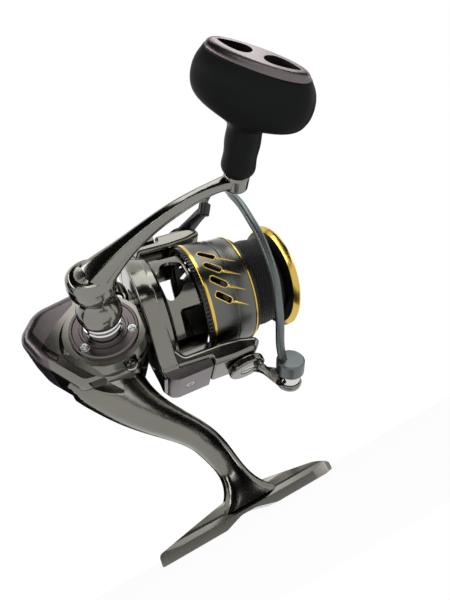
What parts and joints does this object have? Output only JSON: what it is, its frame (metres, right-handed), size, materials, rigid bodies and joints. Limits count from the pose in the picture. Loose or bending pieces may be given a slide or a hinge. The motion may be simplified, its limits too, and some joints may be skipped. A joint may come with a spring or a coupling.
{
  "type": "spinning reel",
  "caption": "Spinning fishing reel with a geared rotor and bail, sliding spool with front drag, folding-style T-knob handle and a rod foot.",
  "frame": {"origin": "middle of the foot's seat on the rod, level with the two pads that touch the rod", "axes": "+X forward along the spool axis, +Z from the rod seat up the stem to the body, -Y toward the handle"},
  "size_m": [0.1222, 0.1351, 0.1331],
  "materials": {
    "black_plastic": "glossy black",
    "brass": "machined brass",
    "bright_chrome": "polished chrome",
    "felt": "greased felt and steel drag washers",
    "gold": "gold anodised, turned",
    "grey_plastic": "light grey moulded",
    "gunmetal": "dark gunmetal chrome over the cast body",
    "gunmetal_purple": "purple-tinted gunmetal lacquer",
    "handle_chrome": "polished dark gunmetal",
    "knob_rubber": "matte black soft grip",
    "line_braid": "black braided line",
    "satin_silver": "satin blue-grey silver",
    "screw_steel": "nickel plated steel",
    "skirt_grey": "satin dark grey metallic",
    "spool_black": "black anodised",
    "steel": "ground steel",
    "zinc": "cast zinc alloy"
  },
  "bodies": {
    "reel_body": {"body_housing": "gunmetal", "body_side_cover": "gunmetal", "body_rear_cover": "gunmetal_purple", "bearing_ring": "gunmetal_purple", "bearing_ring_screws": "screw_steel", "cover_screws": "screw_steel", "crank_bearing_near": "steel", "crank_bearing_far": "steel", "far_side_cap": "gunmetal_purple", "one_way_clutch": "steel", "pinion_bearing": "steel", "slider_guide_rod": "steel", "oscillation_pin": "steel"},
    "crank": {"drive_gear": "zinc", "drive_shaft": "steel", "handle_tenon": "steel", "handle_collar": "bright_chrome", "handle_bell": "handle_chrome", "handle_arm": "handle_chrome", "handle_hub_screw": "screw_steel", "knob_post": "steel", "knob_screw": "screw_steel"},
    "handle_knob": {"knob_grip": "knob_rubber", "knob_end_plate": "gunmetal_purple", "knob_bearings": "steel"},
    "oscillator": {"oscillation_gear": "grey_plastic"},
    "rotor_assembly": {"rotor": "gunmetal", "rotor_arm_cover_upper": "gunmetal_purple", "rotor_arm_cover_lower": "gunmetal_purple", "rotor_arm_screws": "screw_steel", "pinion": "brass", "rotor_nut": "steel", "bail_spring": "steel", "bail_trip_rod": "steel", "bail_pivot_screws": "screw_steel"},
    "bail": {"bail_arm": "gunmetal", "bail_wire": "satin_silver", "roller_cap": "satin_silver", "roller_screw": "screw_steel", "bail_bracket": "black_plastic"},
    "line_roller_wheel": {"line_roller": "bright_chrome"},
    "shaft_carriage": {"main_shaft": "steel", "oscillation_slider": "zinc", "spool_seat_washer": "grey_plastic"},
    "spool": {"spool_body": "spool_black", "spool_lip_ring": "gold", "spool_skirt": "skirt_grey", "skirt_rear_ring": "gold", "skirt_front_ring": "gold", "click_ring": "black_plastic", "line_winding": "line_braid", "drag_washers": "felt", "drag_clip": "steel"},
    "drag_adjuster": {"drag_knob": "gunmetal", "drag_nut": "brass"}
  },
  "joints": [
    {"name": "crank_turn", "type": "hinge", "parent": "reel_body", "child": "crank", "pos_m": [-0.027, 0, 0.078], "axis": [0, -1, 0], "continuous": true},
    {"name": "knob_spin", "type": "hinge", "parent": "crank", "child": "handle_knob", "pos_m": [0.0245, -0.088, 0.0864], "axis": [0, 1, 0], "continuous": true},
    {"name": "oscillator_turn", "type": "hinge", "parent": "reel_body", "child": "oscillator", "pos_m": [-0.0407, 0, 0.0846], "axis": [0, -1, 0], "continuous": true},
    {"name": "rotor_turn", "type": "hinge", "parent": "reel_body", "child": "rotor_assembly", "pos_m": [0, 0, 0.089], "axis": [1, 0, 0], "continuous": true},
    {"name": "bail_swing", "type": "hinge", "parent": "rotor_assembly", "child": "bail", "pos_m": [0.023, 0, 0.089], "axis": [0, 0, 1], "range_deg": [0, 110]},
    {"name": "line_roller_spin", "type": "hinge", "parent": "bail", "child": "line_roller_wheel", "pos_m": [0.03792, -0.00157, 0.0388], "axis": [0.0319, -0.913, 0.4067], "continuous": true},
    {"name": "shaft_slide", "type": "slide", "parent": "reel_body", "child": "shaft_carriage", "axis": [1, 0, 0], "range_m": [-0.013, 0]},
    {"name": "spool_turn", "type": "hinge", "parent": "shaft_carriage", "child": "spool", "pos_m": [0.045, 0, 0.089], "axis": [1, 0, 0], "continuous": true},
    {"name": "drag_knob_turn", "type": "hinge", "parent": "shaft_carriage", "child": "drag_adjuster", "pos_m": [0.06, 0, 0.089], "axis": [1, 0, 0], "range_deg": [-720, 720]}
  ],
  "couplings": [
    {"joint": "rotor_turn", "follows": "crank_turn", "ratio": 5.2},
    {"joint": "oscillator_turn", "follows": "crank_turn", "ratio": -0.76923}
  ]
}
